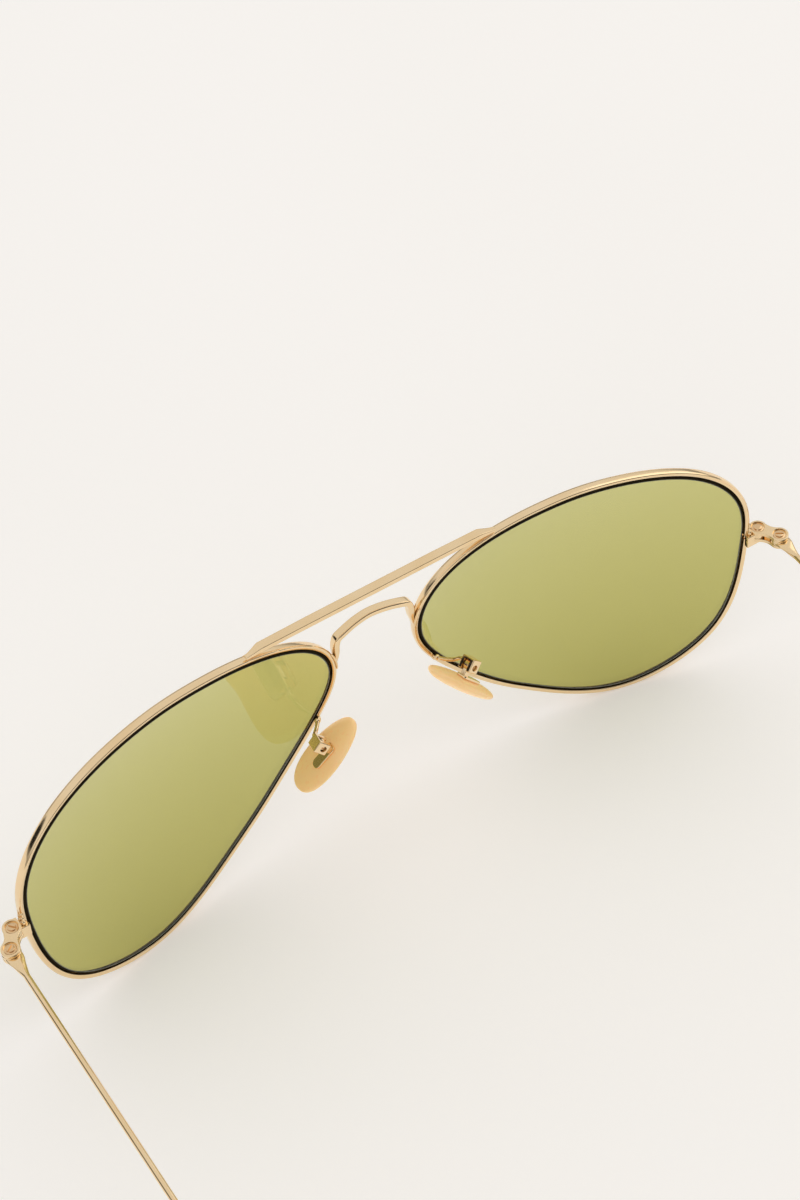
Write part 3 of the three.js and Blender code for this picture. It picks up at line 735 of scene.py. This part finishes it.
def tip_section(distance):
    """Half width and half height of the tip at a distance from the hinge."""
    swell = smooth_step((distance - TIP_SWELL[0]) / (TIP_SWELL[1] - TIP_SWELL[0]))
    half, tall = (neck + (paddle - neck) * swell for neck, paddle in zip(TIP_NECK, TIP_PADDLE))
    to_end = (TEMPLE_LENGTH - distance) / TIP_PADDLE[1]
    close = math.sqrt(1 - (1 - to_end)**2) if to_end < 1 else 1
    from_mouth = (distance - TIP_START) / (2 * TIP_MOUTH)
    lip = TIP_MOUTH * (1 - math.sqrt(1 - (1 - from_mouth)**2)) if from_mouth < 1 else 0
    return ellipse(half * close - lip, tall * close - lip)


def temple_sleeve_shape():
    """Moulded tip with the bore that holds the temple's core wire."""
    bore_end = TEMPLE_LENGTH - TIP_CORE_END + 0.1
    rounding = [1 - 0.98 * math.sin(math.pi / 2 * step / 8) for step in range(8, -1, -1)]
    near_end = TEMPLE_LENGTH - TIP_PADDLE[1]
    end = [near_end + (1 - share) * TIP_PADDLE[1] for share in rounding]
    mouth = [TIP_START + TIP_MOUTH * 2 * share for share in (1, 0.6, 0.3, 0.1, 0)]
    body = [near_end + (TIP_START + 1 - near_end) * step / 70 for step in range(1, 71)]
    outside = [temple_ring(distance, tip_section(distance)) for distance in [*end, *body, *mouth]]
    bore = circle(WIRE_RADIUS + TIP_BORE)
    inside = [TIP_START + (bore_end - TIP_START) * step / 50 for step in range(51)]
    return Shape().loft([*outside, *(temple_ring(distance, bore) for distance in inside)])


# ---------------------------------------------------------------- nose pads

def nose_pad_shape():
    """Moulded pad, drawn about the pad screw's middle."""
    rows = 40
    rings = []
    for row in range(rows):
        angle = (row + 0.35) / (rows - 0.3) * math.pi
        height = -PAD_LENGTH / 2 * math.cos(angle)
        taper = 1 - PAD_FORM["taper"] * height / PAD_LENGTH
        width = PAD_WIDTH / 2 * taper * math.sin(angle)**PAD_FORM["outline"]
        thick = math.sin(angle)**PAD_FORM["edge"]
        ring = []
        for a, b in circle(1):
            bulge = PAD_FACE if a < 0 else PAD_BACK
            ring.append(Vector((a * thick * bulge, b * width, height)) - PAD_PIVOT)
        rings.append(ring)
    return Shape().loft(rings)


def pad_foot_shape():
    """Metal foot set into the pad's back, with the eye that turns in the box."""
    face = PAD_BACK + FOOT["gap"] - PAD_PIVOT.x
    half, neck = STEM["half_width"], STEM["neck"]
    eye = carved(
        crossways(lathe([
            (STEM["eye"] - 0.08, -half), (STEM["eye"], 0.08 - half), (STEM["eye"], half - 0.08),
            (STEM["eye"] - 0.08, half),
        ])),
        crossways(lathe([(PAD_SCREW_HOLE, -2), (PAD_SCREW_HOLE, 2)])),
    )
    stem = rounded_box((face, -half, -neck), (-STEM["eye"] + 0.25, half, neck), 0.12)
    width = FOOT["half_width"]
    plate_outline = rounded([
        (-FOOT["below"], -width, 0.8), (FOOT["above"], -width, 0.5), (FOOT["above"], width, 0.5),
        (-FOOT["below"], width, 0.8),
    ])
    foot = plate([(-x, y) for x, y in plate_outline], 0, FOOT["thick"], 0.1)
    stand = Matrix(((0, 0, 1, face), (0, 1, 0, 0), (-1, 0, 0, 0), (0, 0, 0, 1)))
    return foot.moved(stand).add(stem).add(eye)


def pad_cage_shape():
    """Box that holds the eye: open towards the pad, with the screw's hole through it."""
    outer = rounded_box(BOX_LOW, BOX_HIGH, 0.16)
    reach = 2
    slot = plate(
        [(BOX_LOW[0] - reach, -BOX_SLOT_HALF), (BOX_SLOT_ABOVE, -BOX_SLOT_HALF),
         (BOX_SLOT_ABOVE, BOX_SLOT_HALF), (BOX_LOW[0] - reach, BOX_SLOT_HALF)],
        BOX_LOW[2] - reach, BOX_HIGH[2] + reach, 0,
    )
    hole = crossways(lathe([(PAD_SCREW_HOLE, -reach), (PAD_SCREW_HOLE, reach)]))
    return carved(outer, slot, hole)


def pad_pin_shape():
    """Headless screw along y, slotted at its back end."""
    radius, half = PAD_SCREW["radius"], PAD_SCREW["half_length"]
    body = crossways(lathe([
        (radius - 0.05, -half), (radius, 0.05 - half), (radius, half - 0.05), (radius - 0.05, half),
    ]))
    cut = PAD_SCREW["slot"] / 2
    floor = half - PAD_SCREW["slot_depth"]
    slot = plate([(-1, floor), (1, floor), (1, half + 1), (-1, half + 1)], -cut, cut, 0)
    return carved(body, slot)


def arm_path():
    """Centre line of the left pad arm, from the rim's back to the box's front cheek."""
    along, cheek, straight = ARM_END
    box = pad_frame(1, rocked=False)
    ends = [box @ Vector((along, y, 0)) for y in (cheek - straight, cheek)]
    return smooth_path([*ARM_ROUTE, *ends], 14)


def pad_arm_shape():
    section = circle(ARM_RADIUS, 28)
    return Shape().loft([ring_across(point, along, ALONG_Z, section) for point, along in arm_path()])


# ---------------------------------------------------------------- braze

def bead(points, radius, reference=Vector((0.3, 0.8, 0.5))):
    """Little run of braze along points, round and closing at both ends."""
    last = len(points) - 1
    rings = []
    for k, point in enumerate(points):
        tangent = (points[min(k + 1, last)] - points[max(k - 1, 0)]).normalized()
        share = 2 * k / last - 1
        size = radius * max(math.sqrt(1 - abs(share)**3), 0.06)
        rings.append(ring_across(point, tangent, reference, circle(size, 20)))
    return Shape().loft(rings)


def bridge_braze():
    """Fillets between each foot of the bridge and the rim."""
    shape = Shape()
    for behind in (0.0, -1.15):
        shape.add(bead(along_rim((6.9, 11.6), (6.9, 16.6), 0.68, behind), 0.24))
    return shape


def bar_braze():
    """Fillets where an end of the brow bar lies on the rim."""
    shape = Shape()
    for behind in (-0.1, -1.3):
        shape.add(bead(along_rim((15.6, 24.4), (BAR_HALF_LENGTH - 0.2, 24.8), 0.72, behind), 0.2))
    return shape


def arm_braze():
    """Lump that holds the pad arm to the back of the rim."""
    root = Vector(ARM_ROUTE[0])
    lip = nearest_lip(root.x, root.z)
    foot = LENS_FRAME @ beside_lip(lip, 0.45, -0.25)
    near = arm_path()[8][0]
    return bead([foot.lerp(near, step / 10) for step in range(11)], 0.52)


def clamp_braze():
    """Lumps of braze on the rim, smaller the higher they lie above the clamp's block."""
    shape = Shape()
    x = HINGE_AXIS.x - 3.5
    base = HINGE_AXIS.z + BLOCK_TOP
    for rise, radius, out in ((0.35, 0.36, 0.72), (1.2, 0.3, 0.68), (2.0, 0.24, 0.66)):
        for behind in (0.0, -0.8):
            run = along_rim((x, base + rise - 0.5), (x, base + rise + 0.5), out, behind, 10)
            shape.add(bead(run, radius))
    return shape


# ---------------------------------------------------------------- materials

# Colour sockets of a Mix node, by number because their names repeat.
MIX_FIRST, MIX_SECOND, MIX_COLOUR = 6, 7, 2


def new_material(name):
    material = bpy.data.materials.new(name)
    material.use_nodes = True
    return material, material.node_tree, material.node_tree.nodes["Principled BSDF"]


def add_node(tree, kind, inputs=None, **settings):
    """New shader node; inputs are numbers, colours or the sockets to link."""
    node = tree.nodes.new(kind)
    for name, value in settings.items():
        setattr(node, name, value)
    for name, value in (inputs or {}).items():
        if isinstance(value, bpy.types.NodeSocket):
            tree.links.new(value, node.inputs[name])
        else:
            node.inputs[name].default_value = value
    return node


def object_place(tree, stretch=(1, 1, 1)):
    """Object coordinates in metres, stretched along the axes."""
    place = add_node(tree, "ShaderNodeTexCoord").outputs["Object"]
    inputs = {"Vector": place, "Scale": stretch}
    return add_node(tree, "ShaderNodeMapping", inputs).outputs["Vector"]


def noise(tree, scale, detail=3.0, stretch=(1, 1, 1)):
    inputs = {"Vector": object_place(tree, stretch), "Scale": scale, "Detail": detail}
    return add_node(tree, "ShaderNodeTexNoise", inputs).outputs["Fac"]


def ramp(tree, value, low, high, to_low, to_high):
    """A value between low and high, carried over to between to_low and to_high."""
    inputs = {"Value": value, "From Min": low, "From Max": high}
    inputs |= {"To Min": to_low, "To Max": to_high}
    return add_node(tree, "ShaderNodeMapRange", inputs).outputs["Result"]


def blend(tree, factor, first, second):
    """Colour between two colours."""
    inputs = {0: factor, MIX_FIRST: (*first, 1), MIX_SECOND: (*second, 1)}
    return add_node(tree, "ShaderNodeMix", inputs, data_type="RGBA").outputs[MIX_COLOUR]


def bump(tree, surface, height, distance):
    """Raises the surface by a height from 0 to 1 times a distance in metres."""
    inputs = {"Height": height, "Distance": distance, "Strength": 1.0}
    made = add_node(tree, "ShaderNodeBump", inputs)
    tree.links.new(made.outputs["Normal"], surface.inputs["Normal"])


def plated_gold(name, pale, deep, roughness):
    """Polished plating: cloudy tone, haze that varies, and fine wiping scratches."""
    material, tree, surface = new_material(name)
    surface.inputs["Metallic"].default_value = 1.0
    surface.inputs["Coat Weight"].default_value = 0.15
    surface.inputs["Coat Roughness"].default_value = 0.06
    clouds = ramp(tree, noise(tree, 160, 4), 0.35, 0.65, 0, 1)
    tree.links.new(blend(tree, clouds, pale, deep), surface.inputs["Base Color"])
    haze = ramp(tree, noise(tree, 700, 6), 0.3, 0.7, roughness * 0.7, roughness * 1.4)
    tree.links.new(haze, surface.inputs["Roughness"])
    scratches = noise(tree, 900, 5, (1, 6, 3))
    bump(tree, surface, scratches, 3e-6)
    return material


def tinted_glass():
    """Olive lens glass, lighter at the top; shadow rays pass through it tinted."""
    material, tree, surface = new_material("lens_tint")
    surface.inputs["Transmission Weight"].default_value = 1.0
    surface.inputs["IOR"].default_value = 1.52
    surface.inputs["Specular IOR Level"].default_value = 0.25
    height = add_node(tree, "ShaderNodeSeparateXYZ", {"Vector": object_place(tree)}).outputs["Z"]
    upwards = ramp(tree, height, *LENS_FADE, 0, 1)
    tint = blend(tree, upwards, LENS_DEEP, LENS_LIGHT)
    tree.links.new(tint, surface.inputs["Base Color"])
    film = ramp(tree, noise(tree, 60, 5), 0.45, 0.75, 0.0, 0.045)
    tree.links.new(film, surface.inputs["Roughness"])
    clear = add_node(tree, "ShaderNodeBsdfTransparent", {"Color": tint})
    light = add_node(tree, "ShaderNodeLightPath")
    mix = add_node(tree, "ShaderNodeMixShader", {0: light.outputs["Is Shadow Ray"]})
    tree.links.new(surface.outputs["BSDF"], mix.inputs[1])
    tree.links.new(clear.outputs["BSDF"], mix.inputs[2])
    tree.links.new(mix.outputs["Shader"], tree.nodes["Material Output"].inputs["Surface"])
    return material


def painted_shade_glass(name, dark, light):
    """Matt glass with painted shade: near-black on the bevel in the groove, grey on the border."""
    material, tree, surface = new_material(name)
    grain = ramp(tree, noise(tree, 2500, 4), 0.35, 0.65, 0, 1)
    tree.links.new(blend(tree, grain, dark, light), surface.inputs["Base Color"])
    tree.links.new(ramp(tree, grain, 0, 1, 0.45, 0.65), surface.inputs["Roughness"])
    surface.inputs["Specular IOR Level"].default_value = 0.15
    return material


def moulded_amber(name, pale, deep, glow):
    """Milky honey-coloured plastic, unevenly polished. A little glow stands in for the light
    that such plastic gathers from all around."""
    material, tree, surface = new_material(name)
    surface.inputs["Subsurface Weight"].default_value = 0.35
    surface.inputs["Subsurface Radius"].default_value = (1.0, 0.6, 0.3)
    surface.inputs["Subsurface Scale"].default_value = 0.0006
    surface.inputs["IOR"].default_value = 1.46
    clouds = ramp(tree, noise(tree, 220, 3), 0.3, 0.7, 0, 1)
    tree.links.new(blend(tree, clouds, pale, deep), surface.inputs["Base Color"])
    polish = ramp(tree, noise(tree, 1400, 4), 0.3, 0.7, 0.24, 0.4)
    tree.links.new(polish, surface.inputs["Roughness"])
    surface.inputs["Emission Color"].default_value = (*AMBER_GLOW, 1)
    surface.inputs["Emission Strength"].default_value = glow
    return material


def paper_floor():
    material, tree, surface = new_material("paper")
    clouds = ramp(tree, noise(tree, 6, 2), 0.3, 0.7, 0, 1)
    tree.links.new(blend(tree, clouds, PAPER_PALE, PAPER_DEEP), surface.inputs["Base Color"])
    surface.inputs["Emission Color"].default_value = (*PAPER_PALE, 1)
    surface.inputs["Emission Strength"].default_value = PAPER_GLOW
    tree.links.new(ramp(tree, clouds, 0, 1, 0.85, 0.95), surface.inputs["Roughness"])
    surface.inputs["Specular IOR Level"].default_value = 0.2
    bump(tree, surface, noise(tree, 900, 4), 2e-5)
    return material


# ---------------------------------------------------------------- assembly

def make_front(gold):
    glass = tinted_glass()
    # Painted shade for the lens's bevel and for the border of its back face.
    edge = painted_shade_glass("lens_edge_painted_shade", EDGE_SHADE_DARK, EDGE_SHADE_LIGHT)
    border = painted_shade_glass("lens_border_painted_shade", BORDER_SHADE_DARK, BORDER_SHADE_LIGHT)
    pair("rim_wire", rim_shape(), [gold], "rim", sharp=50)
    pair("lens_glass", lens_shape(), [glass, edge, border], "lens")
    piece("bridge_wire", bridge_shape(), [gold], ["bridge"])
    piece("brow_bar_rod", brow_bar_shape(), [gold], ["brow_bar"])
    pair("bridge_braze", bridge_braze(), [gold])
    pair("bar_braze", bar_braze(), [gold])
    pair("arm_braze", arm_braze(), [gold])
    pair("clamp_braze", clamp_braze(), [gold])


def make_hinges(gold, screw_gold):
    for half, side in (("upper", 1), ("lower", -1)):
        shape = clamp_shape(side).moved(HINGE_FRAME)
        pair(f"clamp_{half}", shape, [gold], f"endpiece_{half}")
    screw = screw_shape()
    seat = LEAF_TOP - RECESS["depth"]
    for name, x, y, turn in (("hinge_screw", 0, 0, 35), ("rim_screw", *RIM_SCREW, -50)):
        place = Matrix.Translation((x, y, seat)) @ Matrix.Rotation(math.radians(turn), 4, "Z")
        placed = screw.copy().moved(HINGE_FRAME @ place)
        pair(f"{name}_slotted", placed, [screw_gold], name)


def make_temples(gold, amber):
    drawn = [
        ("temple_flare", "temple_hinge", temple_flare_shape(), gold, "gold_metal"),
        ("temple_rod", "temple_wire", temple_rod_shape(), gold, "gold_metal"),
        ("temple_sleeve", "temple_tip", temple_sleeve_shape(), amber, "tip_plastic"),
    ]
    for name, node, shape, material, slot in drawn:
        pair(name, shape.moved(HINGE_FRAME), [material], node)


def make_pads(gold, screw_gold, amber):
    drawn = [
        ("nose_pad_moulded", "nose_pad", nose_pad_shape(), amber, "pad_plastic", True),
        ("pad_foot", "pad_stem", pad_foot_shape(), gold, "gold_metal", True),
        ("pad_cage", "pad_box", pad_cage_shape(), gold, "gold_metal", False),
        ("pad_pin", "pad_screw", pad_pin_shape(), screw_gold, "screw_metal", False),
    ]
    for name, node, shape, material, slot, rocked in drawn:
        for side, sign in SIDES.items():
            placed = shape.copy().moved(pad_frame(sign, rocked))
            piece(f"{name}_{side}", placed, [material], [f"{node}_{side}"])
    pair("pad_arm_wire", pad_arm_shape(), [gold], "pad_arm")


def make_floor():
    shape = plate(rounded_rectangle(12, 12, 1), -0.01, 0, 0.002)
    floor = bpy.data.objects.new("floor", to_mesh(shape, "floor"))
    floor.data.materials.append(paper_floor())
    bpy.context.scene.collection.objects.link(floor)


def make_camera():
    data = bpy.data.cameras.new("camera")
    data.lens = CAMERA["lens"]
    data.sensor_width = CAMERA["sensor"]
    data.sensor_fit = "AUTO"
    camera = bpy.data.objects.new("camera", data)
    azimuth, elevation = CAMERA["azimuth"], CAMERA["elevation"]
    level = Vector((math.sin(azimuth), math.cos(azimuth), 0))
    back = level * math.cos(elevation) + ALONG_Z * math.sin(elevation)
    level_right = ALONG_Z.cross(back).normalized()
    right = Matrix.Rotation(-CAMERA["roll"], 3, -back) @ level_right
    up = back.cross(right)
    place = (Vector(CAMERA["target"]) + back * CAMERA["distance"]) * MM
    camera.matrix_world = Matrix((
        (right.x, up.x, back.x, place.x), (right.y, up.y, back.y, place.y),
        (right.z, up.z, back.z, place.z), (0, 0, 0, 1),
    ))
    bpy.context.scene.collection.objects.link(camera)
    bpy.context.scene.camera = camera


def make_light():
    """Large soft light from the wearer's right."""
    data = bpy.data.lights.new("window", "AREA")
    data.size = WINDOW["size"]
    data.energy = WINDOW["energy"]
    data.color = LIGHT_TINT
    light = bpy.data.objects.new("window", data)
    place = Vector(WINDOW["place"])
    aim = place.to_track_quat("Z", "Y").to_matrix().to_4x4()
    light.matrix_world = Matrix.Translation(place) @ aim
    bpy.context.scene.collection.objects.link(light)


def room_colour(tree, direction):
    """Colour of the room by height, dimmest just above the horizon."""
    height = add_node(tree, "ShaderNodeSeparateXYZ", {"Vector": direction}).outputs["Z"]
    tones = add_node(tree, "ShaderNodeValToRGB", {"Fac": height})
    elements = tones.color_ramp.elements
    while len(elements) < len(ROOM_TONES):
        elements.new(0.5)
    for element, (position, tone) in zip(elements, ROOM_TONES):
        element.position = position
        element.color = (*(tone * share for share in LIGHT_TINT), 1)
    return tones.outputs["Color"]


def room_strength(tree, direction):
    """Strength of the room's light, less in its dark parts."""
    strength = ROOM_STRENGTH
    for part in DARK_PARTS.values():
        dot = {0: direction, 1: part["towards"]}
        product = add_node(tree, "ShaderNodeVectorMath", dot, operation="DOT_PRODUCT")
        shade = ramp(tree, product.outputs["Value"], part["begin"], part["full"], 1.0, part["left"])
        factors = {0: shade, 1: strength}
        strength = add_node(tree, "ShaderNodeMath", factors, operation="MULTIPLY").outputs["Value"]
    return strength


def make_world():
    """Bright room that lights the object; the camera itself sees a plain pale wall."""
    world = bpy.data.worlds.new("room")
    world.use_nodes = True
    bpy.context.scene.world = world
    tree = world.node_tree
    direction = add_node(tree, "ShaderNodeTexCoord").outputs["Generated"]
    room = tree.nodes["Background"]
    tree.links.new(room_colour(tree, direction), room.inputs["Color"])
    tree.links.new(room_strength(tree, direction), room.inputs["Strength"])
    wall = add_node(tree, "ShaderNodeBackground", {"Color": WALL_COLOUR, "Strength": 1.0})
    seen = add_node(tree, "ShaderNodeLightPath").outputs["Is Camera Ray"]
    mix = add_node(tree, "ShaderNodeMixShader", {0: seen})
    tree.links.new(room.outputs["Background"], mix.inputs[1])
    tree.links.new(wall.outputs["Background"], mix.inputs[2])
    tree.links.new(mix.outputs["Shader"], tree.nodes["World Output"].inputs["Surface"])


def build():
    make_camera()
    gold = plated_gold("gold_plating", GOLD_PALE, GOLD_DEEP, 0.13)
    screw_gold = plated_gold("screw_plating", SCREW_PALE, SCREW_DEEP, 0.2)
    make_front(gold)
    make_hinges(gold, screw_gold)
    make_temples(gold, moulded_amber("tip_amber", AMBER_PALE, AMBER_DEEP, 0.1))
    make_pads(gold, screw_gold, moulded_amber("pad_amber", AMBER_PALE, AMBER_DEEP, 0.23))
    make_floor()
    make_light()
    make_world()
    bpy.context.scene.view_settings.view_transform = "Standard"


build()
